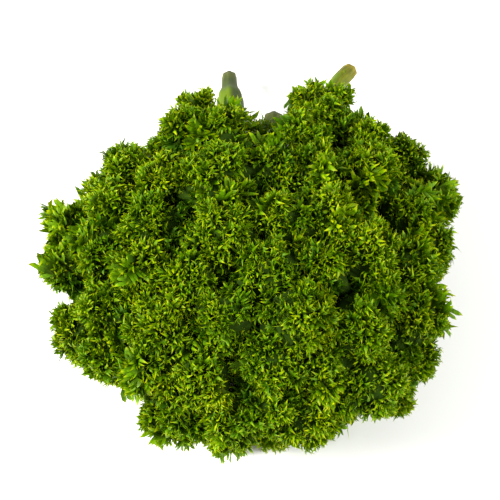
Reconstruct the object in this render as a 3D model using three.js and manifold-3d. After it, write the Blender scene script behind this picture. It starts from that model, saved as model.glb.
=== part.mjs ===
// A bunch of curly parsley lying down: a dome of crisped leaves in front, and the
// stems gathered into a short neck behind it, cut off square. Millimetres, +Z up,
// +X across, -Y towards the crown of the bunch, +Y towards the cut ends.
//
// Each leaf is one closed solid of a few round curls, the way a curly parsley
// blade crisps up into pom-poms, on one tapering stem of its own. Neighbours are
// trimmed off each other by flat planes, so that no two pieces touch.

import * as THREE from "three";
import { mergeVertices } from "three/addons/utils/BufferGeometryUtils.js";
import Module from "manifold-3d";

const wasm = await Module();
wasm.setup();

// ---- driving dimensions -------------------------------------------------------

const DOME_WIDTH = 200; // across the leaves, X
const DOME_LENGTH = 199; // crown to back, Y
const DOME_CENTRE = new THREE.Vector3(0, -9, 54); // above the table the dome lies on
const DOME_RISE = 68; // from that centre to the top
const FACING_TILT = THREE.MathUtils.degToRad(55); // how far the facing plane leans back
const FACING_DISTANCE = 980; // from that plane to the point its sight lines run to

const HALF_GAP = 0.2; // each of two neighbouring pieces stays this far off their plane
const STEM_CLEARANCE = 0.35; // from a leaf to any stem
const LARGE_CURL = 18.5; // radius from which a curl is made of smaller facets
const CURL_INSET = 0.9; // a curl's centre lies this share of its radius inside the dome
const OUTER_FULLNESS = 1.1; // the outer curls crowd each other by this much
const CURL_OVERLAP = 0.76; // spacing of two curls of a leaf, as a share of their radii's sum
const CURL_LUMPS = 0.09; // how lumpy a curl is, as a share of its radius

const NECK_START_Y = 62; // the stems run side by side from here to the cut
const NECK_PITCH = 6.6; // between neighbouring stems of a row
const NECK_ROW_HEIGHTS = [5.2, 11.4, 17.6]; // of the stems' centres, over the table
const CUT_Y = 103; // where an ordinary stem is cut
const STEM_CUT_RADIUS = 2.2;
const STEM_TIP_RADIUS = 1.15;
const STEM_SIDES = 8;
const STEM_STEPS = 7;
const CUT_STAGGER = 3; // from one ordinary cut to the next one inwards
const CUT_LEVELS = 4; // of which there are so many
const TIP_DEPTH = 0.7; // a stem ends this share of a curl's radius inside its leaf

// ---- where the leaves are -----------------------------------------------------

// Each row is one leaf on the outside of the dome. Its curls are laid out on the
// facing plane, which leans back over the dome: [across, up, radius, lift], with
// lift how far the curl stands out of the dome's surface.
const OUTER_LEAVES = [
  [[-25, 67, 9.5, 0], [-32, 52, 12, 0], [-14, 55, 15, 0]],
  [[30, 69, 11.5, 2], [38, 55, 13.5, -2], [19, 50, 12.5, -3], [42, 73, 6.5, 2]],
  [[54, 50, 13, 0], [69, 42, 13.5, 0], [55, 33, 15, 1]],
  [[-57, 38, 13, 0], [-42, 32, 14.5, 0], [-63, 21, 13.5, 0]],
  [[-15, 32, 18, 2], [9, 38, 14.5, -3], [-12, 8, 17, 0]],
  [[29, 36, 15, -3], [35, 18, 15, 0], [14, 14, 15, -1]],
  [[83, 23, 15, 0], [66, 15, 15, 0], [80, 3, 14.5, 0]],
  [[-83, 11, 13, 0], [-85, -6, 13, 0], [-68, 3, 15, 0]],
  [[-46, 12, 15, 0], [-49, -10, 16, 0], [-28, -12, 15, -1]],
  [[8, -10, 16, 0], [-12, -31, 16, -2]],
  [[52, 1, 16, 1], [73, -8, 14.5, 0], [33, -7, 13, -2]],
  [[-79, -36, 14.5, 0], [-65, -48, 13, 0], [-67, -28, 14.5, -2]],
  [[-42, -34, 17, 3], [-47, -53, 14, 0]],
  [[22, -31, 17, 3], [9, -51, 15, -2]],
  [[49, -36, 16, 2], [33, -56, 14.5, -3], [60, -18, 14, -2]],
  [[76, -29, 15, 1], [73, -47, 14.5, 0]],
  [[-33, -74, 15, 0], [-41, -76, 11, 0], [-23, -58, 15, 0]],
  [[-9, -79, 15, 1], [9, -72, 14.5, -1], [26, -77, 14.5, 1]],
  [[56, -60, 16, 3], [66, -65, 13, 0], [45, -68, 12, 0]],
];

// The skirt is the leaves that lie on the table under the rim of the dome. Each
// has two curls on the rim, one tucked under and, away from the neck, two above them
// in the belt. The ring is open at the neck.
const SKIRT_LEAVES = 7;
const SKIRT_OPENING = THREE.MathUtils.degToRad(74);
const SKIRT_RADIUS = 62;
const SKIRT_PULLS = [0, 0, 9, 4, 3, 0, 0]; // how much closer in each skirt leaf lies
const SKIRT_CURL = 16.4;
const SKIRT_CURL_HEIGHT = 13;
const BELT_CURL = 14;
const BELT_CURL_HEIGHT = 39;
const BELT_INSET = 18;
const TUCKED_RADIUS = 37;
const TUCKED_CURL_HEIGHT = 11;

// Leaves on the back of the dome, either side of the neck and over it: each curl
// is [angle from +X in degrees, height, radius, how far it is sunk into the dome].
const BACK_LEAVES = [
  [[31, 38, 17, 0], [9, 39, 17, 0], [51, 44, 15.5, 2], [58, 67, 14, 2]],
  [[149, 37, 16, 1], [171, 39, 16, 1], [129, 44, 15.5, 3], [119, 51, 13.5, 6], [149, 51, 12.5, 7]],
  [[88, 50, 14, 11], [70, 46, 14, 16], [106, 54, 14.5, 6]],
];

// Curls low on the outer and back leaves, under the ones above: they close the
// sides, the back and the corners where three leaves meet. Each is
// [leaf, x, y, z, radius].
const LOW_CURLS = [
  [7, -85, -9, 57, 13],
  [6, 79, -6, 60, 13],
  [15, 74, -31, 57, 13],
  [3, -65, 15, 70, 12.5],
  [3, -55, 32, 74, 14],
  [0, -32, 45, 73, 12],
  [28, -15, 52, 67, 13],
  [28, 6, 49, 66, 12.5],
  [1, 27, 50, 71, 13],
  [8, -32, 0, 96, 13],
  [5, 46, -4, 92, 13],
];

// ---- the three stems that stand out at the cut --------------------------------

// The leaf on it, its cut end, a point of it inside the neck, its radius at the cut,
// and how much thicker it is one and two steps inside, where a sheath wraps it.
const LONG_STEMS = [
  { leaf: 4, end: [-11, 140, 14], neck: [-8, 102, 23], radius: 3.9, swellings: [1.7, 1.8] },
  { leaf: 9, end: [12, 101, 27], neck: [10, 78, 29], radius: 5.3, swellings: [1.05, 0.8] },
  { leaf: 1, end: [51, 130, 31], neck: [31, 112, 37], radius: 4.1, swellings: [1, 0.85] },
];

// ---- helpers ------------------------------------------------------------------

const FACING_UP = new THREE.Vector3(0, Math.sin(FACING_TILT), Math.cos(FACING_TILT));
const FACING_OUT = new THREE.Vector3(0, -Math.cos(FACING_TILT), Math.sin(FACING_TILT));
const FACING_ORIGIN = new THREE.Vector3(0, 0, DOME_CENTRE.z);
const FACING_APEX = FACING_ORIGIN.clone().addScaledVector(FACING_OUT, FACING_DISTANCE);

function domeAxes(inset) {
  return new THREE.Vector3(DOME_WIDTH / 2 - inset, DOME_LENGTH / 2 - inset, DOME_RISE - inset);
}

// Where the sight line through a point of the facing plane meets the inset dome, or
// comes nearest to it where the line passes beside the dome.
function onFacingDome(across, up, inset) {
  const axes = domeAxes(inset);
  const start = FACING_ORIGIN.clone().addScaledVector(FACING_UP, up);
  start.x += across;
  const sight = FACING_APEX.clone().sub(start).normalize();
  start.sub(DOME_CENTRE);
  const from = start.clone().divide(axes);
  const along = sight.clone().divide(axes);
  const a = along.lengthSq();
  const b = from.dot(along);
  const c = from.lengthSq() - 1;
  const depth = (-b + Math.sqrt(Math.max(0, b * b - a * c))) / a;
  return start.addScaledVector(sight, depth).add(DOME_CENTRE);
}

function onDomeAt(angle, height, inset) {
  const axes = domeAxes(inset);
  const level = Math.sqrt(Math.max(0, 1 - ((height - DOME_CENTRE.z) / axes.z) ** 2));
  return new THREE.Vector3(
    DOME_CENTRE.x + axes.x * level * Math.cos(angle),
    DOME_CENTRE.y + axes.y * level * Math.sin(angle),
    height,
  );
}

// ---- lay out the curls --------------------------------------------------------

function outerLeaf(rows) {
  return rows.map(([across, up, radius, lift]) => ({
    centre: onFacingDome(across, up, radius * CURL_INSET - lift),
    radius: radius * OUTER_FULLNESS,
  }));
}

function skirtLeaf(index) {
  const sweep = (2 * Math.PI - SKIRT_OPENING) / SKIRT_LEAVES;
  const middle = Math.PI / 2 + SKIRT_OPENING / 2 + sweep * (index + 0.5);
  const pull = SKIRT_PULLS[index];
  const curl = (angle, reach, height, radius) => ({
    centre: new THREE.Vector3(
      DOME_CENTRE.x + reach * Math.cos(angle),
      DOME_CENTRE.y + reach * Math.sin(angle),
      height,
    ),
    radius,
  });
  const curls = [
    curl(middle - sweep / 4, SKIRT_RADIUS - pull, SKIRT_CURL_HEIGHT, SKIRT_CURL),
    curl(middle + sweep / 4, SKIRT_RADIUS - pull, SKIRT_CURL_HEIGHT, SKIRT_CURL),
    curl(middle, TUCKED_RADIUS, TUCKED_CURL_HEIGHT, SKIRT_CURL),
  ];
  const besideNeck = index === 0 || index === SKIRT_LEAVES - 1;
  for (const side of besideNeck ? [] : [-1, 1]) {
    const centre = onDomeAt(middle + (side * sweep) / 4, BELT_CURL_HEIGHT, BELT_INSET + pull);
    curls.push({ centre, radius: BELT_CURL });
  }
  return curls;
}

function backLeaf(rows) {
  return rows.map(([degrees, height, radius, sunk]) => ({
    centre: onDomeAt(THREE.MathUtils.degToRad(degrees), height, radius * CURL_INSET + sunk),
    radius,
  }));
}

// Draw each curl in until it runs well into an earlier curl of its leaf.
function gather(curls) {
  curls.slice(1).forEach((curl, index) => {
    const looseness = (other) => curl.centre.distanceTo(other.centre) / (curl.radius + other.radius);
    const partner = curls.slice(0, index + 1).reduce((a, b) => (looseness(b) < looseness(a) ? b : a));
    const share = looseness(partner);
    if (share > CURL_OVERLAP) {
      curl.centre.lerp(partner.centre, 1 - CURL_OVERLAP / share);
    }
  });
  return curls;
}

const leaves = [
  ...OUTER_LEAVES.map(outerLeaf),
  ...Array.from({ length: SKIRT_LEAVES }, (_, index) => skirtLeaf(index)),
  ...BACK_LEAVES.map(backLeaf),
].map((curls, index) => {
  for (const [leaf, x, y, z, radius] of LOW_CURLS) {
    if (leaf === index) {
      curls.push({ centre: new THREE.Vector3(x, y, z), radius });
    }
  }
  return { curls: gather(curls) };
});

// ---- lay out the stems --------------------------------------------------------

const CORE = new THREE.Vector3(0, 12, 34); // the leaves all face away from here

for (const leaf of leaves) {
  const middle = new THREE.Vector3();
  let radius = 0;
  for (const curl of leaf.curls) {
    middle.addScaledVector(curl.centre, 1 / leaf.curls.length);
    radius += curl.radius / leaf.curls.length;
  }
  const inward = CORE.clone().sub(middle).normalize();
  leaf.stemTip = middle.addScaledVector(inward, radius * TIP_DEPTH);
}

const FAN_Y = 95; // the leaves' bearings are taken from this point of the neck
const FAN_HEIGHT = 10;

// The stems lie in rows in the neck: low leaves' stems in the bottom row, and from
// left to right within a row, so that they fan out without crossing.
function neckSlots(free) {
  const rowLength = Math.ceil(free.length / NECK_ROW_HEIGHTS.length);
  const reach = (leaf) => Math.hypot(leaf.stemTip.x, leaf.stemTip.y - FAN_Y);
  const steepness = (leaf) => (leaf.stemTip.z - FAN_HEIGHT) / reach(leaf);
  const bearing = (leaf) => Math.atan2(leaf.stemTip.x, FAN_Y - leaf.stemTip.y);
  const lowestFirst = [...free].sort((a, b) => steepness(a) - steepness(b));
  NECK_ROW_HEIGHTS.forEach((height, row) => {
    const stems = lowestFirst.slice(row * rowLength, (row + 1) * rowLength);
    stems.sort((a, b) => bearing(a) - bearing(b));
    stems.forEach((leaf, place) => {
      leaf.slot = new THREE.Vector3(NECK_PITCH * (place - (stems.length - 1) / 2), NECK_START_Y, height);
    });
  });
}

function evenPoints(points) {
  return new THREE.CatmullRomCurve3(points, false, "centripetal").getSpacedPoints(STEM_STEPS);
}

const BEND_SHARE = 0.45; // of the way from the neck to the leaf, where a stem bends
const BEND_REACH = 10; // how far it runs on straight before it does

function ordinaryStem(leaf, index) {
  const cut = leaf.slot.clone().setY(CUT_Y - CUT_STAGGER * (index % CUT_LEVELS));
  const bend = leaf.slot.clone().lerp(leaf.stemTip, BEND_SHARE);
  bend.y -= BEND_REACH;
  leaf.cutRadius = STEM_CUT_RADIUS;
  leaf.path = evenPoints([cut, leaf.slot, bend, leaf.stemTip]);
}

function longStem(leaf, { end, neck, radius, swellings }) {
  const last = new THREE.Vector3(...neck);
  const bend = last.clone().lerp(leaf.stemTip, BEND_SHARE);
  leaf.cutRadius = radius;
  leaf.radii = [radius, ...swellings.map((swelling) => radius * swelling)];
  leaf.path = evenPoints([new THREE.Vector3(...end), last, bend, leaf.stemTip]);
}

const longLeaves = LONG_STEMS.map(({ leaf }) => leaves[leaf]);
const freeLeaves = leaves.filter((leaf) => !longLeaves.includes(leaf));
neckSlots(freeLeaves);
freeLeaves.forEach(ordinaryStem);
LONG_STEMS.forEach((stem, index) => longStem(longLeaves[index], stem));

function stemRadius(leaf, point) {
  const plain = THREE.MathUtils.lerp(leaf.cutRadius, STEM_TIP_RADIUS, Math.sqrt(point / STEM_STEPS));
  return leaf.radii?.[point] ?? plain;
}

// The stems settle: each round draws them straight and pushes them off each other and
// out of the curls. The last rounds only push.
const SETTLING_ROUNDS = 90;
const STRAIGHTENING_ROUNDS = 78;
const STRAIGHTENING = 0.12;
const SETTLED_GAP = 1.7; // between two stems; straight facets take up part of it
const SETTLED_HEIGHT = 0.4; // of a stem's underside
const STEM_PUSH = 0.5; // share of an overlap that one push makes good
const CURL_PUSH = 0.7;
const OWN_CURL_ROOM = 0.55; // stems stay this share of the radius from their own curls' centres
const CURL_ROOM = 0.85; // and this share from other leaves' curls' centres
const LEAST_DISTANCE = 0.1; // so that two lines that meet still get pushed apart

// Push one stretch of a stem away; its two ends share the push.
function spread(points, at, push, share) {
  for (const [index, weight] of [[at, 1 - share], [at + 1, share]]) {
    if (index > 0 && index < points.length - 1) {
      points[index].addScaledVector(push, weight);
    }
  }
}

const stretch = new THREE.Line3();
const nearest = new THREE.Vector3();

function nearestOn(points, at, point) {
  stretch.set(points[at], points[at + 1]);
  const share = stretch.closestPointToPointParameter(point, true);
  stretch.at(share, nearest);
  return share;
}

function clearStems(leaf, other) {
  for (let here = 1; here < STEM_STEPS; here += 1) {
    for (let at = 0; at < STEM_STEPS; at += 1) {
      const point = leaf.path[here];
      const share = nearestOn(other.path, at, point);
      const push = point.clone().sub(nearest);
      const distance = push.length();
      const needed = stemRadius(leaf, here) + stemRadius(other, at) + SETTLED_GAP;
      if (distance < needed) {
        push.multiplyScalar((STEM_PUSH * (needed - distance)) / Math.max(distance, LEAST_DISTANCE));
        point.add(push);
        spread(other.path, at, push.negate(), share);
      }
    }
  }
}

function clearCurls(leaf, other) {
  for (const curl of other.curls) {
    const needed = curl.radius * (other === leaf ? OWN_CURL_ROOM : CURL_ROOM);
    for (let at = 0; at < STEM_STEPS; at += 1) {
      const share = nearestOn(leaf.path, at, curl.centre);
      const push = nearest.clone().sub(curl.centre);
      const distance = push.length();
      if (distance < needed) {
        push.multiplyScalar((CURL_PUSH * (needed - distance)) / Math.max(distance, LEAST_DISTANCE));
        spread(leaf.path, at, push, share);
      }
    }
  }
}

function settle(leaf) {
  for (let at = 1; at < STEM_STEPS; at += 1) {
    const point = leaf.path[at];
    const middle = leaf.path[at - 1].clone().lerp(leaf.path[at + 1], 0.5);
    point.lerp(middle, STRAIGHTENING);
    point.z = Math.max(point.z, stemRadius(leaf, at) + SETTLED_HEIGHT);
  }
}

for (let round = 0; round < SETTLING_ROUNDS; round += 1) {
  for (const leaf of leaves) {
    if (round < STRAIGHTENING_ROUNDS) {
      settle(leaf);
    }
    for (const other of leaves) {
      clearCurls(leaf, other);
      if (other !== leaf) {
        clearStems(leaf, other);
      }
    }
  }
}

// ---- solids -------------------------------------------------------------------

const JOINED_WITHIN = 1e-5;

function joinVertices(geometry) {
  geometry.deleteAttribute("normal");
  geometry.deleteAttribute("uv");
  return mergeVertices(geometry, JOINED_WITHIN);
}

// A cylinder bent along the stem's points, thinner towards the leaf.
function stemGeometry(leaf) {
  const tube = joinVertices(new THREE.CylinderGeometry(1, 1, STEM_STEPS, STEM_SIDES, STEM_STEPS));
  const position = tube.attributes.position;
  const corner = new THREE.Vector3();
  const side = new THREE.Vector3(1, 0, 0);
  const rings = leaf.path.map((point, at) => {
    const before = leaf.path[Math.max(at - 1, 0)];
    const after = leaf.path[Math.min(at + 1, STEM_STEPS)];
    const along = after.clone().sub(before).normalize();
    side.addScaledVector(along, -side.dot(along)).normalize();
    return { point, side: side.clone(), up: along.clone().cross(side), radius: stemRadius(leaf, at) };
  });
  for (let index = 0; index < position.count; index += 1) {
    corner.fromBufferAttribute(position, index);
    const ring = rings[Math.round(STEM_STEPS / 2 - corner.y)];
    const { x, z } = corner;
    corner.copy(ring.point);
    corner.addScaledVector(ring.side, x * ring.radius);
    corner.addScaledVector(ring.up, z * ring.radius);
    position.setXYZ(index, corner.x, corner.y, corner.z);
  }
  return tube;
}

// The flat planes that a curl is trimmed by: [direction, distance from its centre].
function trimmingPlanes(curl, leaf) {
  const planes = [[new THREE.Vector3(0, 0, -1), curl.centre.z]];
  for (const other of leaves) {
    for (const rival of other === leaf ? [] : other.curls) {
      const towards = rival.centre.clone().sub(curl.centre);
      const distance = towards.length();
      if (distance < (curl.radius + rival.radius) * (1 + CURL_LUMPS)) {
        const share = (distance ** 2 + curl.radius ** 2 - rival.radius ** 2) / (2 * distance);
        planes.push([towards.divideScalar(distance), share - HALF_GAP]);
      }
    }
    for (let at = 0; at < STEM_STEPS; at += 1) {
      nearestOn(other.path, at, curl.centre);
      const towards = nearest.clone().sub(curl.centre);
      const distance = towards.length();
      const clear = distance - stemRadius(other, at) - STEM_CLEARANCE;
      if (clear < curl.radius * (1 + CURL_LUMPS)) {
        planes.push([towards.divideScalar(distance), clear]);
      }
    }
  }
  return planes;
}

const LUMP_WAVES = new THREE.Vector3(4.1, 4.7, 5.3); // radians over a curl's radius
const LUMP_SHIFTS = new THREE.Vector3(1, 2.3, 1.7); // how the waves move with the seed
const CROSS_LUMPS = 0.625; // share of the lumps that X and Y make together

// Between -1 and 1.
function lumpiness(direction, seed) {
  const wave = direction.clone().multiply(LUMP_WAVES).addScaledVector(LUMP_SHIFTS, seed);
  return CROSS_LUMPS * Math.sin(wave.x) * Math.sin(wave.y) + (1 - CROSS_LUMPS) * Math.sin(wave.z);
}

function curlGeometry(curl, leaf, seed) {
  const ball = joinVertices(new THREE.IcosahedronGeometry(1, curl.radius < LARGE_CURL ? 1 : 2));
  const position = ball.attributes.position;
  const planes = trimmingPlanes(curl, leaf);
  const direction = new THREE.Vector3();
  for (let index = 0; index < position.count; index += 1) {
    direction.fromBufferAttribute(position, index).normalize();
    let reach = curl.radius * (1 + CURL_LUMPS * lumpiness(direction, seed));
    for (const [normal, distance] of planes) {
      const slope = direction.dot(normal);
      if (slope * reach > distance) {
        reach = distance / slope;
      }
    }
    direction.multiplyScalar(reach).add(curl.centre);
    position.setXYZ(index, direction.x, direction.y, direction.z);
  }
  return ball;
}

function toSolid(geometry) {
  const vertProperties = new Float32Array(geometry.attributes.position.array);
  const triVerts = new Uint32Array(geometry.index.array);
  return new wasm.Manifold(new wasm.Mesh({ numProp: 3, vertProperties, triVerts }));
}

const LEAF_SEED = 3; // from one leaf's lumps to the next one's

function leafGeometry(leaf, number) {
  const seed = (index) => number * LEAF_SEED + index;
  const solids = leaf.curls.map((curl, index) => toSolid(curlGeometry(curl, leaf, seed(index))));
  const joined = solids.reduce((whole, solid) => whole.add(solid)).getMesh();
  const geometry = new THREE.BufferGeometry();
  geometry.setAttribute("position", new THREE.BufferAttribute(joined.vertProperties, 3));
  geometry.setIndex(new THREE.BufferAttribute(joined.triVerts, 1));
  return geometry;
}

// ---- the bunch ----------------------------------------------------------------

const LEAF_HUE = 0.235;
const LEAF_SATURATION = 0.95;
const LEAF_LIGHTNESSES = [0.16, 0.175, 0.19, 0.205];
const LEAF_ROUGHNESS = 0.6;
const STEM_COLOUR = "#8a9a4c";
const STEM_ROUGHNESS = 0.5;

const bunch = new THREE.Group();

function leafMaterial(index) {
  const lightness = LEAF_LIGHTNESSES[index % LEAF_LIGHTNESSES.length];
  const color = new THREE.Color().setHSL(LEAF_HUE, LEAF_SATURATION, lightness);
  return new THREE.MeshStandardMaterial({ color, roughness: LEAF_ROUGHNESS, metalness: 0 });
}

function stemMaterial() {
  return new THREE.MeshStandardMaterial({ color: STEM_COLOUR, roughness: STEM_ROUGHNESS, metalness: 0 });
}

leaves.forEach((leaf, index) => {
  const number = String(index + 1).padStart(2, "0");
  const blade = new THREE.Mesh(leafGeometry(leaf, index + 1), leafMaterial(index));
  blade.name = `leaf_${number}`;
  const stem = new THREE.Mesh(stemGeometry(leaf), stemMaterial());
  stem.name = `stem_${number}`;
  bunch.add(blade, stem);
});

// The origin is under the middle of the bunch's own box, on the table.
const extent = new THREE.Box3().setFromObject(bunch, true);
const middle = extent.getCenter(new THREE.Vector3());
bunch.position.set(-middle.x, -middle.y, -extent.min.z);

export default bunch;
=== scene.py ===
"""Looks of a bunch of curly parsley lying down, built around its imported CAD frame.

Every CAD leaf is replaced by the crisped, toothed leaflets that a curly parsley
blade is made of, grown over the surface of its solid, and every CAD stem by a
ribbed stalk along its own centreline. Lengths are in metres.
"""

import math

import bmesh
import bpy
import numpy as np
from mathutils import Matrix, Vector
from mathutils.bvhtree import BVHTree


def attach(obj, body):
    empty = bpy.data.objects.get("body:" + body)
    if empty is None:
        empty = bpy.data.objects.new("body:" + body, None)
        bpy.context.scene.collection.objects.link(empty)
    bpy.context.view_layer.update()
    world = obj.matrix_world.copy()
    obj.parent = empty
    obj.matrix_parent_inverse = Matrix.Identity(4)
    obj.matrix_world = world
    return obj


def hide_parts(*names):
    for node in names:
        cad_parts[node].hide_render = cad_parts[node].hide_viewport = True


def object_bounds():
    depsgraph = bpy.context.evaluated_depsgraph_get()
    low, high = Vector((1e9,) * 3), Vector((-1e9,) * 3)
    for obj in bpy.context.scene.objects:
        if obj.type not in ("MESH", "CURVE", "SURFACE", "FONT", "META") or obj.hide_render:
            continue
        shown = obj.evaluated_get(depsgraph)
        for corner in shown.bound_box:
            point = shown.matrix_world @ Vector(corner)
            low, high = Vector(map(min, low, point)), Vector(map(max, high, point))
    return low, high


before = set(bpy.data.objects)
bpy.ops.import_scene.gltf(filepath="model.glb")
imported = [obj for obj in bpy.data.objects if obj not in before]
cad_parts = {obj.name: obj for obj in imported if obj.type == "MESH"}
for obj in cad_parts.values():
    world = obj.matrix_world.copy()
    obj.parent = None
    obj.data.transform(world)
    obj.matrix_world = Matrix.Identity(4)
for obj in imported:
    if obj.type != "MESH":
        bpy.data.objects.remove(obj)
cad_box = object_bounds()

MM = 0.001
SEED = 29

# ---- driving values -----------------------------------------------------------

GOLDEN = 0.618  # steps of this share of a whole stay evenly apart
TOUCHING = 1e-6  # points this near are one point
OFF_AXIS = (0.31, 0.17, 0.93)  # any direction will do to measure turns round a line from
TONES = 16  # shades that a leaflet may have, each a band of its own on the map
MAP_MARGIN = 0.02  # left free at either side of the map
BAND_MARGIN = 0.1  # left free at either side of a band, as a share of it

# Leaflets stand all over a leaf. Those on an inside wall, where two leaves touch,
# point out of the seam between them.
CORE = np.array([0.0, -4 * MM, 36 * MM])  # the middle of the head, which seams lead away from
LEAFLET_SPACING = 4.3 * MM
SCATTER_TRIES = 9  # for each leaflet that could stand at that spacing
LEAFLET_REACH = (7.5 * MM, 10.0 * MM)  # from a leaflet's base to its teeth's tips
BROAD_REACH = (10.0 * MM, 14.0 * MM)
PROUD = 1.0 * MM  # how far the tips stand out of the CAD leaf's surface
WALL_GAP = 1.6 * MM  # a surface this near another leaf is an inside wall
SEAM_DEPTH = 14.0 * MM  # down to which an inside wall still carries leaflets
SEAM_STEP = 1.0 * MM  # between the places that are tried on the way out of a seam
SEAM_LIFT = 0.2 * MM
SEAM_FILL = 0.8  # share of the way out that the tips of an inside wall's leaflets reach
SEAM_TURN = 0.35  # how much these still face away from their wall

TABLE_CLEARANCE = 0.3 * MM
FLATTENED = 0.9 * MM  # below this height everything is pressed up, clear of the table
FLATTENED_FALL = 4.0 * MM
LOW_TIPS = 4.0 * MM  # below this height no leaflet points down
LOW_SLOPE = -0.15

# The leaflets stand in tufts, each on a sprig of its own: they lean away from the
# tuft's crown and are lower towards its edge.
TUFT_SPACING = 11.5 * MM
TUFT_RADIUS = 7.0 * MM
TUFT_DROP = 2.6 * MM
TUFT_OPENING = 0.55
TUFT_EDGE = 1.3  # in radii; the drop grows no further
LEAFLET_SWAY = 0.18
BASE_SHARE = 0.93  # of the reach, from a leaflet's tips back to its base
OPEN_TUFTS = 0.11  # share of the tufts whose leaflets are flat, broad and spread out
OPEN_SPREAD = 1.3
OPEN_PROUD = 1.2 * MM  # how much further these stand out

# A sprig runs from the end of the stem to its hub inside the tuft, and a thin spoke
# from the hub to each leaflet's base.
HUB_REACH = 26.0 * MM  # the furthest that a hub lies under its tuft's crown
HUB_SHARE = 0.6  # of the way from the crown to the stem
HUB_DEPTH = 2.6 * MM
SPRIG_RADII = (0.95 * MM, 0.5 * MM)
SPRIG_STEPS = 5
SPRIG_SIDES = 5
SPRIG_BEND = 1.5 * MM
SPOKE_RADII = (0.45 * MM, 0.30 * MM)
SPOKE_ACROSS = (0.1, 0.5, 0.9)
SPOKE_OVERLAP = 1.2 * MM
FOOT_ALONG = (0.0, 0.05)  # the foot of a leaflet's colours, which sprigs and spokes have

# A leaf has a shade of its own, its tufts differ a little, and so do their leaflets.
LEAF_TONE = (0.5, 0.05)
TUFT_TONE_SPREAD = 0.09
LEAFLET_TONE_SPREAD = 0.08

# A leaflet in a hollow between two curls is lower than one on a crown, and painted darker as shade.
SKY_DIRECTIONS = 40
SKY_REACH = 30.0 * MM
SKY_START = 2.5 * MM  # above the surface, so that its own roundness doesn't count
SKY_LOWEST = 0.1  # directions nearer to the surface than this don't count either
# Painted shade: a leaflet's tone falls by this much for each share of shelter above the usual one, and
# rises as painted light below it.
SHELTER_SHADE = 1.0
USUAL_SHELTER = 0.16
SHELTERS = (0.0, 0.15, 0.35, 0.6, 1.0)
TIP_DEPTHS = (0.0, 1.2, 3.4, 0.5, -3.0)  # in millimetres at these shelters; the last bridges gaps

# Side leaflets on the part of a stem that is hidden inside the bunch.
INNER_LEAFLETS = 34
INNER_FROM = 0.55  # of the stem's length, counted from its cut
INNER_REACH = (10.0 * MM, 15.0 * MM)
INNER_TONES = (0.16, 0.42)
INNER_SLANT = 0.5

# The heart is the leaf's solid drawn in under the leaflets, where no light comes in, and coloured dark
# as painted shade.
HEART_DEPTHS = (5.0, 6.0, 7.5, 3.5, -2.0)  # in millimetres at the same shelters
HEART_SEAM = 9.0 * MM  # depth in a seam from which the heart fills it
SEAM_GAP = 0.15 * MM
# Painted shade: the heart takes the dark part of a leaflet's colours and a dark band of shades.
HEART_SHADE_ALONG = (0.12, 0.32)  # the dark part of a leaflet's colours
HEART_ACROSS = (0.05, 0.95)
HEART_SHADE_BAND = 2

# A stalk is a ribbed tube along the CAD stem's centreline, with a cut face at its end.
STEM_SIDES = 24
STEM_ROWS = 60
STEM_RIBS = 7
RIB_HEIGHT = 0.06  # of the stem's radius
RIB_TURN = 6  # a stem's ribs start up to this angle round it
CUT_ALONG = 0.1  # where a stem's colours start behind its cut face
CUT_RIM = 0.45  # radius of the cut face's inner ring, as a share of the stem's
CUT_HOLLOW = 0.05  # of a row's length
THIN_BANDS = (8, TONES)  # of shades that an ordinary stem may have
THICK_BANDS = {"stem_02": 6, "stem_05": 2, "stem_10": 1}
SWELL_POWER = 3  # 1 would widen a stem's first stretch evenly

# The spur is the scar of a side shoot.
SPUR_STEM = "stem_02"
SPUR_STEP = 7  # the row of the stem that the spur stands on
SPUR_LENGTH = 2.6 * MM
SPUR_WIDTH = 0.45  # its radius at the foot, as a share of its length
SPUR_TIP = 0.02  # the same at its tip, as a share of that
SPUR_ROOT = 0.8  # of the stem's radius
SPUR_RISE = 0.8
SPUR_SLANT = 0.6
SPUR_STEPS = 4
SPUR_SIDES = 8
SPUR_ALONG = (0.28, 0.34)

# The camera looks down from the front at a point inside the head.
CAMERA_TILT = math.radians(55)
CAMERA_DISTANCE = 0.98
CAMERA_LENS = 150
LOOK_ACROSS = -0.3 * MM
LOOK_HEIGHT = 54 * MM
LOOK_BACK = cad_box[1][1] - 140 * MM
SENSOR_WIDTH = 36

LIGHT_TARGET = (0, 0, 0.05)
SKY_STRENGTH = 0.6
FLOOR_REACH = 3.0

LEAF_NODES = sorted(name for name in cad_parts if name.startswith("leaf_"))
STEM_NODES = sorted(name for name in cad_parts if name.startswith("stem_"))


# ---- reading the CAD solids ---------------------------------------------------


def solid_of(node):
    """The node's mesh with its split vertices joined again: (points, triangles, normals)."""
    bm = bmesh.new()
    bm.from_mesh(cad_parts[node].data)
    bmesh.ops.remove_doubles(bm, verts=bm.verts, dist=TOUCHING)
    bmesh.ops.triangulate(bm, faces=bm.faces)
    bm.normal_update()
    points = np.array([v.co for v in bm.verts])
    normals = np.array([v.normal for v in bm.verts])
    triangles = np.array([[v.index for v in f.verts] for f in bm.faces])
    bm.free()
    return points, triangles, normals


def rings_of(node):
    """A CAD stem's cross-sections from the cut end to the leaf: (centres, radii)."""
    bm = bmesh.new()
    bm.from_mesh(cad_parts[node].data)
    bmesh.ops.remove_doubles(bm, verts=bm.verts, dist=TOUCHING)
    bm.verts.ensure_lookup_table()
    ends = sorted(bm.verts, key=lambda v: -len(v.link_edges))[:2]
    level = [max(ends, key=lambda v: v.co.y)]
    seen = set(level)
    centres = []
    radii = []
    while level:
        ring = []
        for vertex in level:
            for edge in vertex.link_edges:
                other = edge.other_vert(vertex)
                if other not in seen:
                    seen.add(other)
                    ring.append(other)
        if len(ring) > 1:
            corners = np.array([v.co for v in ring])
            centre = corners.mean(axis=0)
            centres.append(centre)
            radii.append(np.linalg.norm(corners - centre, axis=1).mean())
        level = ring
    bm.free()
    return np.array(centres), np.array(radii)


# ---- meshes -------------------------------------------------------------------


def unit(vectors):
    """The vectors at length one."""
    return vectors / np.maximum(np.linalg.norm(vectors, axis=-1, keepdims=True), 1e-12)


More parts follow.
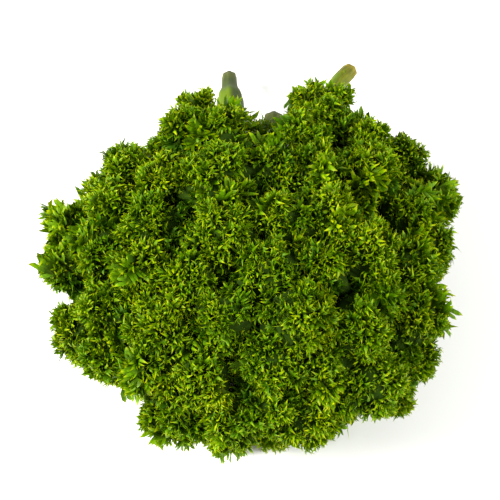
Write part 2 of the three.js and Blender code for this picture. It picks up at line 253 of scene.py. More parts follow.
def make_piece(name, parts, material):
    """One smooth mesh object from parts, each (points, triangles, blade).

    The blade vectors, one a point, are what the materials colour by: X runs from the foot to the tips, Y
    across, and Z is the shade, which on leaflets also holds painted shade from their shelter. They are
    the map as well.
    """
    points = np.concatenate([part[0] for part in parts])
    blade = np.concatenate([part[2] for part in parts])
    offsets = np.cumsum([0] + [len(part[0]) for part in parts[:-1]])
    triangles = np.concatenate([part[1] + offset for part, offset in zip(parts, offsets, strict=True)])
    corner = triangles.ravel().astype(np.int32)
    mesh = bpy.data.meshes.new(name)
    mesh.vertices.add(len(points))
    mesh.vertices.foreach_set("co", points.astype(np.float32).ravel())
    mesh.loops.add(len(corner))
    mesh.loops.foreach_set("vertex_index", corner)
    mesh.polygons.add(len(triangles))
    mesh.polygons.foreach_set("loop_start", np.arange(0, len(corner), 3, dtype=np.int32))
    mesh.update(calc_edges=True)
    mesh.polygons.foreach_set("use_smooth", np.ones(len(triangles), bool))
    mesh.attributes.new("blade", "FLOAT_VECTOR", "POINT").data.foreach_set(
        "vector", blade.astype(np.float32).ravel()
    )
    band = np.floor(blade[:, 2] * TONES)
    level = BAND_MARGIN + (1 - 2 * BAND_MARGIN) * blade[:, 1]
    flat = np.stack([MAP_MARGIN + (1 - 2 * MAP_MARGIN) * blade[:, 0], (band + level) / TONES], axis=1)
    mesh.uv_layers.new(name="OFBake").uv.foreach_set(
        "vector", flat[corner].astype(np.float32).ravel()
    )
    mesh.materials.append(material)
    piece = bpy.data.objects.new(name, mesh)
    bpy.context.scene.collection.objects.link(piece)
    return piece


def band_middle(band):
    """The tone in the middle of a band of shades, counted from the darkest."""
    return (band + 0.5) / TONES


def banded(tone):
    """The middle of the band of shades that each tone, 0 to 1, falls in."""
    return band_middle(np.floor(np.clip(tone, 0.0, 0.999) * TONES))


def grid_triangles(rows, columns, closed):
    """The triangles of a sheet of rows by columns points, closed into a tube or not."""
    row, column = np.meshgrid(np.arange(rows - 1), np.arange(columns - (not closed)), indexing="ij")
    here = (row * columns + column).ravel()
    beside = (row * columns + (column + 1) % columns).ravel()
    first = np.stack([here, beside, beside + columns], axis=1)
    second = np.stack([here, beside + columns, here + columns], axis=1)
    return np.concatenate([first, second])


def tube(centres, radii, sides, along, tone):
    """A tube round a line of centres, open at both ends: (points, triangles, blade)."""
    steps = len(centres)
    ahead = unit(np.gradient(centres, axis=0))
    side = unit(np.cross(ahead[0], OFF_AXIS))
    turn = np.arange(sides) * 2 * math.pi / sides
    rows = []
    for step in range(steps):
        side = unit(side - ahead[step] * side.dot(ahead[step]))
        up = np.cross(ahead[step], side)
        circle = np.outer(np.cos(turn), side) + np.outer(np.sin(turn), up)
        rows.append(centres[step] + radii[step] * circle)
    # The map goes up one side of the tube and down the other, so it has no seam.
    blade = np.empty((steps * sides, 3))
    blade[:, 0] = np.repeat(along, sides)
    blade[:, 1] = np.tile(np.abs(np.cos(turn / 2)), steps)
    blade[:, 2] = tone
    return np.concatenate(rows), grid_triangles(steps, sides, True), blade


# ---- leaflets -----------------------------------------------------------------


class LeafletKind:
    """A crisped fan with narrow teeth on its rim, built alike for every leaflet.

    A leaflet is a row of points at its base and one along its rim, then for each
    tooth a left edge, a crease, a right edge and a tip. Half the fan's angle is its
    spread, waves and ruffle shape its rim, and tooth, lean, hook and width shape its
    teeth. Lengths are shares of the leaflet's reach.
    """

    BASE_RADIUS = 0.10  # shares of the leaflet's reach
    RIM_SWELL = 0.12
    SWELL_PACE = 1.7  # times as many as the waves of the ruffle
    WAIST = 0.60  # shares of a tooth's length and of its width
    CREASE = 0.28
    TOOTH_LENGTHS = (0.7, 1.3)
    TOOTH_LEAN_SPREAD = 0.35
    TOOTH_TURN_SPREAD = 0.5
    VARIETY = (0.8, 1.2)  # of the spread and of the number of waves
    LEVELS = (0.06, 0.62)  # of the base and the rim, on the way to the tips
    TOOTH_LEVELS = (0.80, 0.82, 0.80, 1.0)  # of its left edge, crease, right edge and tip
    TOOTH_STRIPE = (0.0, 0.04, 0.08, 0.05)  # how far across its stripe these lie
    STRIPES = (0.05, 0.85)  # the first, and how far from it the last may be

    def __init__(self, teeth, spread, waves, ruffle, tooth, lean, hook, width):
        self.teeth = teeth
        self.spread = spread
        self.waves = waves
        self.ruffle = ruffle
        self.tooth = tooth
        self.lean = lean
        self.hook = hook
        self.width = width
        self.columns = teeth + 1
        rim = self.columns + np.arange(teeth)
        first = 2 * self.columns + 4 * np.arange(teeth)
        corners = [
            [rim, first + 1, first],
            [rim, rim + 1, first + 1],
            [rim + 1, first + 2, first + 1],
            [first, first + 1, first + 3],
            [first + 1, first + 2, first + 3],
        ]
        fingers = np.concatenate([np.stack(face, axis=1) for face in corners])
        self.triangles = np.concatenate([grid_triangles(2, self.columns, False), fingers])
        self.size = 2 * self.columns + 4 * teeth
        # Every tooth has a stripe of its own across the leaflet's band of shades.
        first_stripe, stripe_range = self.STRIPES
        stripe = first_stripe + stripe_range * (np.arange(teeth) * GOLDEN % 1)
        joint = first_stripe + stripe_range * (np.arange(self.columns) * GOLDEN**2 % 1)
        rows = [np.stack([np.full(self.columns, level), joint], axis=1) for level in self.LEVELS]
        tooth_along = np.tile(self.TOOTH_LEVELS, teeth)
        tooth_across = np.repeat(stripe, 4) + np.tile(self.TOOTH_STRIPE, teeth)
        self.blade = np.concatenate([*rows, np.stack([tooth_along, tooth_across], axis=1)])

    def grow(self, rng, bases, axes, sides, reach, tone):
        """The points, triangles and blade values of a leaflet at each base."""
        count = len(bases)
        fronts = np.cross(axes, sides)[:, None]
        axes = axes[:, None]
        sides = sides[:, None]
        bases = bases[:, None]
        reach = reach[:, None]
        across = np.linspace(-1, 1, self.columns)
        angle = self.spread * rng.uniform(*self.VARIETY, (count, 1)) * across
        waves = math.pi * self.waves * rng.uniform(*self.VARIETY, (count, 1))
        phase = rng.uniform(0, 2 * math.pi, (count, 1))
        wave = np.sin(waves * across + phase)
        swell = np.cos(self.SWELL_PACE * waves * across + 3 * phase)
        outward = np.cos(angle)[:, :, None] * axes + np.sin(angle)[:, :, None] * sides

        def place(radius, height):
            return bases + (radius * reach)[:, :, None] * outward + (height * reach)[:, :, None] * fronts

        base = place(np.full_like(wave, self.BASE_RADIUS), np.zeros_like(wave))
        rim = place((1 - self.tooth) * (1 + self.RIM_SWELL * swell), self.ruffle * wave)
        width = (rim[:, 1:] - rim[:, :-1]) * self.width
        centre = (rim[:, 1:] + rim[:, :-1]) / 2
        teeth = (count, self.teeth, 1)
        lean = (self.lean * (wave[:, 1:] + wave[:, :-1]) / 2)[:, :, None]
        lean = lean + rng.normal(0, self.TOOTH_LEAN_SPREAD, teeth)
        turn = rng.normal(0, self.TOOTH_TURN_SPREAD, teeth)
        along = unit(outward[:, 1:] + outward[:, :-1] + 2 * lean * fronts + turn * sides)
        length = self.tooth * reach[:, :, None] * rng.uniform(*self.TOOTH_LENGTHS, teeth)
        bend = unit(np.cross(along, unit(width)))
        curl = bend * (length * self.hook * rng.normal(0, 1, teeth))
        waist = centre + self.WAIST * length * along
        crease = bend * np.linalg.norm(width, axis=2, keepdims=True) * self.CREASE
        fingers = np.stack(
            [
                waist - 0.5 * width,
                waist + crease,
                waist + 0.5 * width,
                centre + length * along + curl,
            ],
            axis=2,
        ).reshape(count, 4 * self.teeth, 3)
        points = np.concatenate([base, rim, fingers], axis=1)
        blade = np.empty((count, self.size, 3))
        blade[:, :, :2] = self.blade
        blade[:, :, 2] = tone[:, None]
        starts = np.arange(count)[:, None, None] * self.size
        triangles = (self.triangles[None] + starts).reshape(-1, 3)
        return points.reshape(-1, 3), triangles, blade.reshape(-1, 3)


CRISPED = LeafletKind(
    teeth=24, spread=1.0, waves=3.0, ruffle=0.24, tooth=0.30, lean=1.5, hook=0.5, width=0.80
)
BROAD = LeafletKind(
    teeth=9, spread=1.15, waves=1.2, ruffle=0.10, tooth=0.42, lean=0.4, hook=0.22, width=0.95
)


# ---- where the leaflets grow --------------------------------------------------


def all_leaves_tree(solids):
    """A search tree over all the leaves' triangles, and the index of each triangle's leaf."""
    points = np.concatenate([solid[0] for solid in solids])
    starts = np.cumsum([0] + [len(solid[0]) for solid in solids[:-1]])
    faces = np.concatenate([solid[1] + start for solid, start in zip(solids, starts, strict=True)])
    owner = np.repeat(np.arange(len(solids)), [len(solid[1]) for solid in solids])
    return BVHTree.FromPolygons(points.tolist(), faces.tolist()), owner


def spaced(places, spacing):
    """The indices of the places that keep their distance from every one kept before them."""
    cells = {}
    kept = []
    keys = np.floor(places / spacing).astype(int).tolist()
    around = [(dx, dy, dz) for dx in (-1, 0, 1) for dy in (-1, 0, 1) for dz in (-1, 0, 1)]
    points = places.tolist()
    for index, (x, y, z) in enumerate(keys):
        here = points[index]
        crowded = any(
            math.dist(points[other], here) < spacing
            for dx, dy, dz in around
            for other in cells.get((x + dx, y + dy, z + dz), ())
        )
        if not crowded:
            cells.setdefault((x, y, z), []).append(index)
            kept.append(index)
    return kept


def scatter(rng, solid, spacing):
    """Evenly spread points on a solid's surface and its smoothed normals there."""
    points, triangles, normals = solid
    corners = points[triangles]
    edges = corners[:, 1:] - corners[:, :1]
    area = np.linalg.norm(np.cross(edges[:, 0], edges[:, 1]), axis=1) / 2
    tries = int(area.sum() / spacing**2 * SCATTER_TRIES)
    chosen = rng.choice(len(triangles), tries, p=area / area.sum())
    a, b = rng.random((2, tries))
    flip = a + b > 1
    a[flip] = 1 - a[flip]
    b[flip] = 1 - b[flip]
    weights = np.stack([1 - a - b, a, b], axis=1)[:, :, None]
    places = (corners[chosen] * weights).sum(axis=1)
    facing = unit((normals[triangles[chosen]] * weights).sum(axis=1))
    kept = spaced(places, spacing)
    return places[kept], facing[kept]


def way_out(place, facing, tree):
    """For a place on a wall between two leaves: (direction out of the seam, depth in it) or None."""
    outward = Vector(place - CORE)
    wall = Vector(facing)
    direction = outward - wall * outward.dot(wall)
    if direction.length < TOUCHING:
        return None
    direction.normalize()
    probe = Vector(place) + wall * SEAM_LIFT
    depth = 0.0
    while depth <= SEAM_DEPTH:
        at = probe + direction * depth
        if tree.find_nearest(at)[3] > WALL_GAP:
            return np.array(direction), depth
        depth += SEAM_STEP
    return None


def sky_directions():
    """Directions spread evenly over a sphere."""
    turn = np.arange(SKY_DIRECTIONS) * 2 * math.pi * GOLDEN
    height = 1 - (2 * np.arange(SKY_DIRECTIONS) + 1) / SKY_DIRECTIONS
    level = np.sqrt(1 - height**2)
    return np.stack([level * np.cos(turn), level * np.sin(turn), height], axis=1)


def shelter(tree, places, facing):
    """How much of the open side of each place is closed off by leaves near it, 0 to 1."""
    rays = sky_directions()
    closed = np.zeros(len(places))
    for index, (place, normal) in enumerate(zip(places, facing, strict=True)):
        start = Vector(place + normal * SKY_START)
        ahead = rays @ normal
        open_side = ahead > SKY_LOWEST
        weights = 0.0
        for direction, weight in zip(rays[open_side], ahead[open_side], strict=True):
            distance = tree.ray_cast(start, Vector(direction), SKY_REACH)[3]
            weights += weight
            if distance is not None:
                closed[index] += weight * (1 - distance / SKY_REACH)
        closed[index] /= weights
    return closed


def on_a_wall(index, place, tree, owner):
    """Whether another leaf is so near that this place of the leaf is an inside wall."""
    return any(owner[hit[2]] != index for hit in tree.find_nearest_range(Vector(place), WALL_GAP))


def heart(index, solid, tree, owner):
    """The leaf's own solid drawn in, though not where it fills a seam, and coloured dark as painted
    shade: (points, triangles, blade).
    """
    points, triangles, normals = solid
    inset = np.interp(shelter(tree, points, normals), SHELTERS, HEART_DEPTHS) * MM
    for at, (place, normal) in enumerate(zip(points, normals, strict=True)):
        if on_a_wall(index, place, tree, owner):
            out = way_out(place, normal, tree)
            depth = HEART_SEAM if out is None else min(out[1], HEART_SEAM)
            inset[at] = SEAM_GAP + HEART_DEPTHS[0] * MM * (1 - depth / HEART_SEAM)
    count = np.arange(len(points))
    along = np.interp(count * GOLDEN % 1, (0, 1), HEART_SHADE_ALONG)
    across = np.interp(count * GOLDEN**2 % 1, (0, 1), HEART_ACROSS)
    blade = np.stack([along, across, np.full(len(points), band_middle(HEART_SHADE_BAND))], axis=1)
    return points - normals * inset[:, None], triangles, blade


def perpendicular(rng, axes):
    """A random direction square to each axis."""
    spin = unit(rng.normal(size=axes.shape))
    return unit(spin - axes * (spin * axes).sum(axis=1, keepdims=True))


def leaflet_places(rng, index, solid, tree, owner):
    """Where the tips of a leaf's leaflets reach, and which way the leaflets point."""
    places, facing = scatter(rng, solid, LEAFLET_SPACING)
    tips = []
    axes = []
    for place, normal in zip(places, facing, strict=True):
        if not on_a_wall(index, place, tree, owner):
            tips.append(place + PROUD * normal)
            axes.append(normal)
            continue
        out = way_out(place, normal, tree)
        if out is not None:
            direction, depth = out
            tips.append(place + direction * depth * SEAM_FILL)
            axes.append(direction + SEAM_TURN * normal)
    return np.array(tips), unit(np.array(axes))


def spokes(bases, hubs, own, tone):
    """A thin three-sided stalk from each leaflet's base back to its sprig's hub."""
    count = len(bases)
    starts = hubs[own]
    ahead = unit(bases - starts)
    side = unit(np.cross(ahead, OFF_AXIS))
    up = np.cross(ahead, side)
    turn = np.arange(3) * 2 * math.pi / 3
    circle = np.cos(turn)[None, :, None] * side[:, None] + np.sin(turn)[None, :, None] * up[:, None]
    ends = bases + ahead * SPOKE_OVERLAP
    rows = [starts[:, None] + circle * SPOKE_RADII[0], ends[:, None] + circle * SPOKE_RADII[1]]
    points = np.stack(rows, axis=1)
    blade = np.empty((count, 6, 3))
    blade[:, :3, 0] = FOOT_ALONG[0]
    blade[:, 3:, 0] = FOOT_ALONG[1]
    blade[:, :, 1] = np.tile(SPOKE_ACROSS, 2)
    blade[:, :, 2] = tone[:, None]
    first = np.arange(count)[:, None, None] * 6
    triangles = (grid_triangles(2, 3, True)[None] + first).reshape(-1, 3)
    return points.reshape(-1, 3), triangles, blade.reshape(-1, 3)


def inner_leaflets(rng, centres, radii):
    """Open leaflets standing off the inner part of a stem on all sides."""
    line = smooth_line(centres, radii, 2 * INNER_LEAFLETS)[0]
    at = rng.integers(int(INNER_FROM * len(line)), len(line) - 1, INNER_LEAFLETS)
    ahead = unit(line[at + 1] - line[at])
    axes = unit(perpendicular(rng, ahead) + INNER_SLANT * ahead)
    tone = banded(rng.uniform(*INNER_TONES, INNER_LEAFLETS))
    reach = rng.uniform(*INNER_REACH, INNER_LEAFLETS)
    return BROAD.grow(rng, line[at], axes, perpendicular(rng, axes), reach, tone)


def tufts(rng, tips, facing, closed):
    """Gathers leaflets in tufts: (crowns, own tuft, broad or not, tips, axes) of the leaflets."""
    low = tips[:, 2] < LOW_TIPS
    facing[low, 2] = np.maximum(facing[low, 2], LOW_SLOPE)
    crowns = tips[spaced(tips, TUFT_SPACING)]
    own = np.linalg.norm(tips[:, None] - crowns[None], axis=2).argmin(axis=1)
    offset = (tips - crowns[own]) / TUFT_RADIUS
    edge = np.minimum(np.linalg.norm(offset, axis=1), TUFT_EDGE)
    broad = (rng.random(len(crowns)) < OPEN_TUFTS)[own]
    depth = TUFT_DROP * edge**2 - OPEN_PROUD * broad
    depth += np.interp(closed, SHELTERS, TIP_DEPTHS) * MM
    opening = np.where(broad, OPEN_SPREAD, TUFT_OPENING)[:, None]
    axes = unit(facing + opening * offset + rng.normal(0, LEAFLET_SWAY, facing.shape))
    return crowns, own, broad, tips - facing * depth[:, None], axes


def tones_of(rng, crowns, own, closed):
    """The leaflets' tones, with painted shade: darker where the leaves close in on them."""
    tone = rng.normal(*LEAF_TONE)
    tone = tone + rng.normal(0, TUFT_TONE_SPREAD, len(crowns))[own]
    tone = tone + rng.normal(0, LEAFLET_TONE_SPREAD, len(own))
    return banded(tone - SHELTER_SHADE * (closed - USUAL_SHELTER))


def sprig(rng, start, end):
    """A thin bent stalk inside a leaf."""
    share = np.linspace(0, 1, SPRIG_STEPS)[:, None]
    bend = (start + end) / 2 + rng.normal(0, SPRIG_BEND, 3)
    line = (1 - share) ** 2 * start + 2 * share * (1 - share) * bend + share**2 * end
    radii = np.linspace(*SPRIG_RADII, SPRIG_STEPS)
    along = np.linspace(*FOOT_ALONG, SPRIG_STEPS)
    return tube(line, radii, SPRIG_SIDES, along, band_middle(0))


def press_off_table(points):
    """Squeezes what is nearly on the table, or under it, into a thin layer above it."""
    sunk = points[:, 2] < FLATTENED
    fall = np.exp((points[sunk, 2] - FLATTENED) / FLATTENED_FALL)
    points[sunk, 2] = FLATTENED - (FLATTENED - TABLE_CLEARANCE) * (1 - fall)


def leaf_parts(rng, index, solid, tree, owner, stem):
    """The leaflets of one leaf, their sprigs and spokes, its heart and its inner leaflets."""
    stem_end = stem[0][-1]
    tips, facing = leaflet_places(rng, index, solid, tree, owner)
    closed = shelter(tree, tips, facing)
    crowns, own, broad, tips, axes = tufts(rng, tips, facing, closed)
    sides = perpendicular(rng, axes)
    tone = tones_of(rng, crowns, own, closed)
    count = len(tips)
    reach = np.where(broad, rng.uniform(*BROAD_REACH, count), rng.uniform(*LEAFLET_REACH, count))
    bases = tips - axes * (reach * BASE_SHARE)[:, None]
    parts = [heart(index, solid, tree, owner), inner_leaflets(rng, *stem)]
    for kind, chosen in ((CRISPED, ~broad), (BROAD, broad)):
        if chosen.any():
            here = (bases[chosen], axes[chosen], sides[chosen], reach[chosen], tone[chosen])
            parts.append(kind.grow(rng, *here))
    inward = stem_end - crowns
    distance = np.linalg.norm(inward, axis=1, keepdims=True)
    hubs = crowns + inward / distance * np.minimum(HUB_REACH, HUB_SHARE * distance + HUB_DEPTH)
    parts.append(spokes(bases, hubs, own, tone))
    parts.extend(sprig(rng, stem_end, hub) for hub in hubs)
    for points, _, _ in parts:
        press_off_table(points)
    return parts


# ---- materials ----------------------------------------------------------------


def node(tree, kind, **values):
    """A new shader node with the given settings."""
    made = tree.nodes.new(kind)
    for name, value in values.items():
        setattr(made, name, value)
    return made


def ramp(tree, stops):
    """A colour ramp with these stops, each (position, colour)."""
    made = tree.nodes.new("ShaderNodeValToRGB")
    elements = made.color_ramp.elements
    while len(elements) < len(stops):
        elements.new(0.5)
    for element, (position, colour) in zip(elements, stops, strict=True):
        element.position = position
        element.color = (*colour, 1)
    return made


def blade_mottling(tree, blade, scale, detail):
    """Noise drawn on a leaflet's or stalk's own coordinates, between 0 and 1."""
    stretched = node(tree, "ShaderNodeVectorMath", operation="MULTIPLY")
    stretched.inputs[1].default_value = scale
    tree.links.new(blade.outputs["Vector"], stretched.inputs[0])
    noise = node(tree, "ShaderNodeTexNoise")
    noise.inputs["Scale"].default_value = 1
    noise.inputs["Detail"].default_value = detail
    tree.links.new(stretched.outputs["Vector"], noise.inputs["Vector"])
    return noise.outputs["Fac"]


def spanned(tree, value, low, high):
    """The value's middle range, 0.3 to 0.7, spread between low and high."""
    span = node(tree, "ShaderNodeMapRange")
    span.inputs["From Min"].default_value = 0.3
    span.inputs["From Max"].default_value = 0.7
    span.inputs["To Min"].default_value = low
    span.inputs["To Max"].default_value = high
    tree.links.new(value, span.inputs["Value"])
    return span.outputs["Result"]


def multiplied(tree, product, *factors):
    """The colours multiplied together."""
    for factor in factors:
        mix = node(tree, "ShaderNodeMix", data_type="RGBA", blend_type="MULTIPLY")
        mix.inputs["Factor"].default_value = 1
        tree.links.new(product, mix.inputs["A"])
        tree.links.new(factor, mix.inputs["B"])
        product = mix.outputs["Result"]
    return product


def mixed(tree, share, first, second):
    """The first colour where the share is 0 and the second where it is 1."""
    mix = node(tree, "ShaderNodeMix", data_type="RGBA")
    tree.links.new(share, mix.inputs["Factor"])
    tree.links.new(first, mix.inputs["A"])
    mix.inputs["B"].default_value = (*second, 1)
    return mix.outputs["Result"]


def looked_up(tree, value, stops):
    """The colour that the value, 0 to 1, has on a ramp."""
    colours = ramp(tree, stops)
    tree.links.new(value, colours.inputs["Fac"])
    return colours.outputs["Color"]


def bumped(tree, shader, height, strength, distance):
    """Gives the shader a fine relief."""
    bump = node(tree, "ShaderNodeBump")
    bump.inputs["Strength"].default_value = strength
    bump.inputs["Distance"].default_value = distance
    tree.links.new(height, bump.inputs["Height"])
    tree.links.new(bump.outputs["Normal"], shader.inputs["Normal"])


def mirroring(shader, level, tint):
    """Sets how strongly, and in what colour, the surface mirrors the light."""
    shader.inputs["Specular IOR Level"].default_value = level
    shader.inputs["Specular Tint"].default_value = (*tint, 1)


def plant_material(name):
    """A new material: (material, its tree, its shader, the blade vector, that vector's parts)."""
    material = bpy.data.materials.new(name)
    material.use_nodes = True
    tree = material.node_tree
    blade = node(tree, "ShaderNodeAttribute", attribute_name="blade")
    parts = node(tree, "ShaderNodeSeparateXYZ")
    tree.links.new(blade.outputs["Vector"], parts.inputs[0])
    return material, tree, tree.nodes["Principled BSDF"], blade, parts.outputs


# Colours from a leaflet's foot to the tips of its teeth, with painted shade in its dark inner part, then
# what its shade, partly painted shade from its shelter, and its patches multiply them by, and how much
# rougher its dark inner part is.
LEAF_ALONG = [
    (0.0, (0.050, 0.080, 0.006)),
    # painted shade: the leaflet's inner part is dark as the gaps between leaflets are
    (0.35, (0.016, 0.042, 0.001)),
    (0.62, (0.055, 0.125, 0.001)),
    (0.82, (0.102, 0.214, 0.001)),
    (1.0, (0.315, 0.358, 0.003)),
]
LEAF_SHADES = [
    (0.0, (0.38, 0.60, 0.9)),
    (0.5, (0.86, 0.98, 0.7)),
    (1.0, (1.70, 1.42, 1.0)),
]
LEAF_PATCHES = [(0.30, (0.48, 0.56, 0.6)), (0.70, (1.48, 1.38, 0.9))]
LEAF_DULLNESS = [(0.40, (0.50, 0.50, 0.50)), (0.62, (0.0, 0.0, 0.0))]
LEAF_ROUGHNESS = (0.46, 0.32)
LEAF_PATCH_SCALE = (5, 11, 60)
LEAF_VEIN_SCALE = (14, 20, 60)
LEAF_RELIEF = (0.35, 0.4 * MM)  # strength and depth
LEAF_MIRRORING = (0.20, (0.85, 1.0, 0.35))
LEAF_GLOW = 0.20  # share of the light that comes through the blade

# The same for a stalk from its cut to its leaf, and where its sheath lies: along
# the stalk, and round it.
STEM_ALONG = [
    (0.0, (0.230, 0.205, 0.062)),
    (0.10, (0.190, 0.172, 0.040)),
    (0.15, (0.085, 0.100, 0.018)),
    (0.19, (0.088, 0.110, 0.016)),
    (0.30, (0.080, 0.115, 0.012)),
    (1.0, (0.080, 0.150, 0.008)),
]
STEM_SHADES = [
    (0.0, (0.50, 0.64, 0.70)),
    (0.20, (0.56, 0.70, 0.70)),
    (0.40, (1.50, 1.30, 0.50)),
    (1.0, (1.60, 1.75, 1.50)),
]
STEM_FLECKS = [(0.32, (0.62, 0.66, 0.7)), (0.5, (1.0, 1.0, 1.0)), (0.68, (1.5, 1.35, 1.6))]
STEM_ROUGHNESS = (0.50, 0.70)
STEM_FLECK_SCALE = (18, 16, 60)
STEM_RELIEF = (0.4, 0.5 * MM)
STEM_MIRRORING = (0.12, (0.9, 1.0, 0.6))
SHEATH_COLOUR = (0.118, 0.190, 0.003)
SHEATH_ALONG = [(0.20, (0, 0, 0)), (0.25, (1, 1, 1)), (0.60, (1, 1, 1)), (0.75, (0, 0, 0))]
SHEATH_ROUND = [(0.72, (0, 0, 0)), (0.84, (1, 1, 1))]


def leaf_material():
    """Green with painted shade in its dark inner part, paling and yellowing towards the teeth, mottled,
    veined and half glossy.
    """
    material, tree, shader, blade, part = plant_material("parsley_leaf")
    mottling = blade_mottling(tree, blade, LEAF_PATCH_SCALE, 2)
    tint = multiplied(
        tree,
        looked_up(tree, part["X"], LEAF_ALONG),
        looked_up(tree, part["Z"], LEAF_SHADES),
        looked_up(tree, mottling, LEAF_PATCHES),
    )
    tree.links.new(tint, shader.inputs["Base Color"])
    roughness = node(tree, "ShaderNodeMath", operation="ADD")
    tree.links.new(spanned(tree, mottling, *LEAF_ROUGHNESS), roughness.inputs[0])
    tree.links.new(looked_up(tree, part["X"], LEAF_DULLNESS), roughness.inputs[1])
    tree.links.new(roughness.outputs["Value"], shader.inputs["Roughness"])
    bumped(tree, shader, blade_mottling(tree, blade, LEAF_VEIN_SCALE, 2), *LEAF_RELIEF)
    mirroring(shader, *LEAF_MIRRORING)
    glow = node(tree, "ShaderNodeBsdfTranslucent")
    tree.links.new(tint, glow.inputs["Color"])
    blend = node(tree, "ShaderNodeMixShader")
    blend.inputs["Fac"].default_value = LEAF_GLOW
    tree.links.new(shader.outputs[0], blend.inputs[1])
    tree.links.new(glow.outputs[0], blend.inputs[2])
    tree.links.new(blend.outputs[0], tree.nodes["Material Output"].inputs["Surface"])
    return material


def stem_material():
    """Ribbed stalk: tan at the cut, olive or green by its shade, with a bright sheath on one side."""
    material, tree, shader, blade, part = plant_material("parsley_stem")
    mottling = blade_mottling(tree, blade, STEM_FLECK_SCALE, 4)
    skin = multiplied(
        tree,
        looked_up(tree, part["X"], STEM_ALONG),
        looked_up(tree, part["Z"], STEM_SHADES),
        looked_up(tree, mottling, STEM_FLECKS),
    )
    sheath = multiplied(
        tree,
        looked_up(tree, part["X"], SHEATH_ALONG),
        looked_up(tree, part["Y"], SHEATH_ROUND),
    )
    tree.links.new(mixed(tree, sheath, skin, SHEATH_COLOUR), shader.inputs["Base Color"])
    tree.links.new(spanned(tree, mottling, *STEM_ROUGHNESS), shader.inputs["Roughness"])
    bumped(tree, shader, mottling, *STEM_RELIEF)
    mirroring(shader, *STEM_MIRRORING)
    return material


def floor_material():
    """Plain, pale and matt."""
    material = bpy.data.materials.new("pale_floor")
    material.use_nodes = True
    shader = material.node_tree.nodes["Principled BSDF"]
    shader.inputs["Base Color"].default_value = (0.93, 0.93, 0.93, 1)
    shader.inputs["Roughness"].default_value = 0.9
    shader.inputs["Specular IOR Level"].default_value = 0.1
    return material


# ---- stems --------------------------------------------------------------------


def smooth_line(centres, radii, steps):
    """A Catmull-Rom curve through the centres, and the radii along it."""
    knots = np.column_stack([centres, radii])
    padded = np.concatenate([[2 * knots[0] - knots[1]], knots, [2 * knots[-1] - knots[-2]]])
    at = np.linspace(0, len(knots) - 1, steps)
    first = np.minimum(at.astype(int), len(knots) - 2)
    t = (at - first)[:, None]
    a, b, c, d = (padded[first + k] for k in range(4))
    square = (2 * a - 5 * b + 4 * c - d) * t**2
    cube = (3 * b - a - 3 * c + d) * t**3
    line = 0.5 * (2 * b + (c - a) * t + square + cube)
    # The first stretch stays a cylinder for most of its length.
    swelling = np.where(at < 1, at**SWELL_POWER, at)
    return line[:, :3], np.interp(swelling, np.arange(len(knots)), radii)


def spur(line, girth, tone):
    """The small pointed scar of a side shoot, on top of a stem near its cut end."""
    at = SPUR_STEP
    ahead = unit(line[at] - line[at + 1])
    up = unit(np.array([0.0, 0.0, 1.0]) - ahead * ahead[2])
    root = line[at] + up * girth[at] * SPUR_ROOT
    share = np.linspace(0, 1, SPUR_STEPS)
    centres = root + (up * SPUR_RISE + ahead * SPUR_SLANT) * SPUR_LENGTH * share[:, None]
    radii = SPUR_LENGTH * SPUR_WIDTH * (1 + SPUR_TIP - share)
    return tube(centres, radii, SPUR_SIDES, np.linspace(*SPUR_ALONG, SPUR_STEPS), tone)


def cut_face(points, blade, line, end, tone):
    """Closes a stem's end with a ring and a middle point: (points, triangles, blade) with these."""
    inward = 1 if end == 0 else -1
    first = len(points)
    ring = np.arange(STEM_SIDES) + end * STEM_SIDES
    centre = line[end] + (line[end + inward] - line[end]) * CUT_HOLLOW
    rim = points[ring] * CUT_RIM + centre * (1 - CUT_RIM)
    inner = first + np.arange(STEM_SIDES)
    after = np.roll(ring, -1)
    inner_after = np.roll(inner, -1)
    hub = np.full(STEM_SIDES, first + STEM_SIDES)
    faces = [[after, ring, inner], [after, inner, inner_after], [inner_after, inner, hub]]
    triangles = [np.stack(face[::inward], axis=1) for face in faces]
    added = np.tile([[0.0, 0.5, tone]], (STEM_SIDES + 1, 1))
    return np.concatenate([points, rim, [centre]]), triangles, np.concatenate([blade, added])


def stem_parts(rng, centres, radii, tone, scarred):
    """A ribbed stalk, closed at both ends, with or without the spur."""
    line, girth = smooth_line(centres, radii, STEM_ROWS)
    along = np.linspace(CUT_ALONG, 1, STEM_ROWS)
    points, skin, blade = tube(line, girth, STEM_SIDES, along, tone)
    turn = np.tile(np.arange(STEM_SIDES) * 2 * math.pi / STEM_SIDES, STEM_ROWS)
    rib = 1 + RIB_HEIGHT * np.cos(STEM_RIBS * turn + rng.uniform(0, RIB_TURN))
    middle = np.repeat(line, STEM_SIDES, axis=0)
    points = middle + (points - middle) * rib[:, None]
    triangles = [skin]
    for end in (0, STEM_ROWS - 1):
        points, face, blade = cut_face(points, blade, line, end, tone)
        triangles.extend(face)
    parts = [(points, np.concatenate(triangles), blade)]
    if scarred:
        parts.append(spur(line, girth, tone))
    return parts


# ---- the bunch ----------------------------------------------------------------


def add_piece(name, parts, look, node_name):
    """One piece that rides the root body and stands for one CAD node."""
    piece = make_piece(name, parts, look)
    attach(piece, "root")
    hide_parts(node_name)


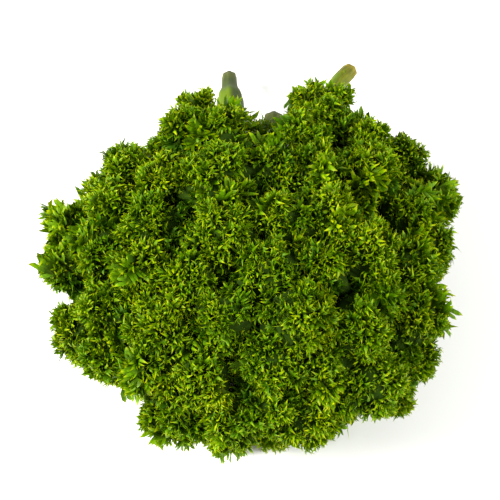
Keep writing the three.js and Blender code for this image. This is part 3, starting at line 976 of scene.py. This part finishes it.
def build_bunch():
    """A stalk and a blade for every stem of the CAD and its leaf."""
    leaf_look = leaf_material()
    stem_look = stem_material()
    solids = [solid_of(name) for name in LEAF_NODES]
    tree, owner = all_leaves_tree(solids)
    for index, (leaf, stem) in enumerate(zip(LEAF_NODES, STEM_NODES, strict=True)):
        rng = np.random.default_rng([SEED, index])
        centres, radii = rings_of(stem)
        thin_band = rng.integers(*THIN_BANDS)
        tone = band_middle(THICK_BANDS.get(stem, thin_band))
        stalk = stem_parts(rng, centres, radii, tone, stem == SPUR_STEM)
        add_piece(f"stalk_{stem[-2:]}", stalk, stem_look, stem)
        blade = leaf_parts(rng, index, solids[index], tree, owner, (centres, radii))
        add_piece(f"blade_{leaf[-2:]}", blade, leaf_look, leaf)


# ---- floor, light and camera --------------------------------------------------


def build_stage():
    reach = FLOOR_REACH
    corners = [(-reach, -reach, 0), (reach, -reach, 0), (reach, reach, 0), (-reach, reach, 0)]
    mesh = bpy.data.meshes.new("floor")
    mesh.from_pydata(corners, [], [[0, 1, 2, 3]])
    mesh.materials.append(floor_material())
    floor = bpy.data.objects.new("floor", mesh)
    bpy.context.scene.collection.objects.link(floor)


def area_light(name, place, size, watts, colour):
    """A square lamp turned to the bunch."""
    lamp = bpy.data.lights.new(name, "AREA")
    lamp.size = size
    lamp.energy = watts
    lamp.color = colour
    made = bpy.data.objects.new(name, lamp)
    made.location = place
    aim = Vector(LIGHT_TARGET) - Vector(place)
    made.rotation_euler = aim.to_track_quat("-Z", "Y").to_euler()
    bpy.context.scene.collection.objects.link(made)


def build_light():
    world = bpy.data.worlds.new("studio")
    bpy.context.scene.world = world
    world.use_nodes = True
    sky = world.node_tree.nodes["Background"]
    sky.inputs["Color"].default_value = (1, 1, 1, 1)
    sky.inputs["Strength"].default_value = SKY_STRENGTH
    area_light("key", (-1.0, -0.35, 0.80), size=0.5, watts=40, colour=(1.0, 0.98, 0.92))
    area_light("fill", (1.0, -0.45, 0.60), size=0.6, watts=18, colour=(1.0, 1.0, 0.96))
    bpy.context.scene.view_settings.view_transform = "Standard"


def build_camera():
    lens = bpy.data.cameras.new("camera")
    lens.lens = CAMERA_LENS
    lens.sensor_width = SENSOR_WIDTH
    camera = bpy.data.objects.new("camera", lens)
    target = Vector((LOOK_ACROSS, LOOK_BACK, LOOK_HEIGHT))
    back = Vector((0, -math.cos(CAMERA_TILT), math.sin(CAMERA_TILT)))
    camera.location = target + back * CAMERA_DISTANCE
    camera.rotation_euler = (-back).to_track_quat("-Z", "Y").to_euler()
    bpy.context.scene.collection.objects.link(camera)
    bpy.context.scene.camera = camera


build_bunch()
build_stage()
build_light()
build_camera()
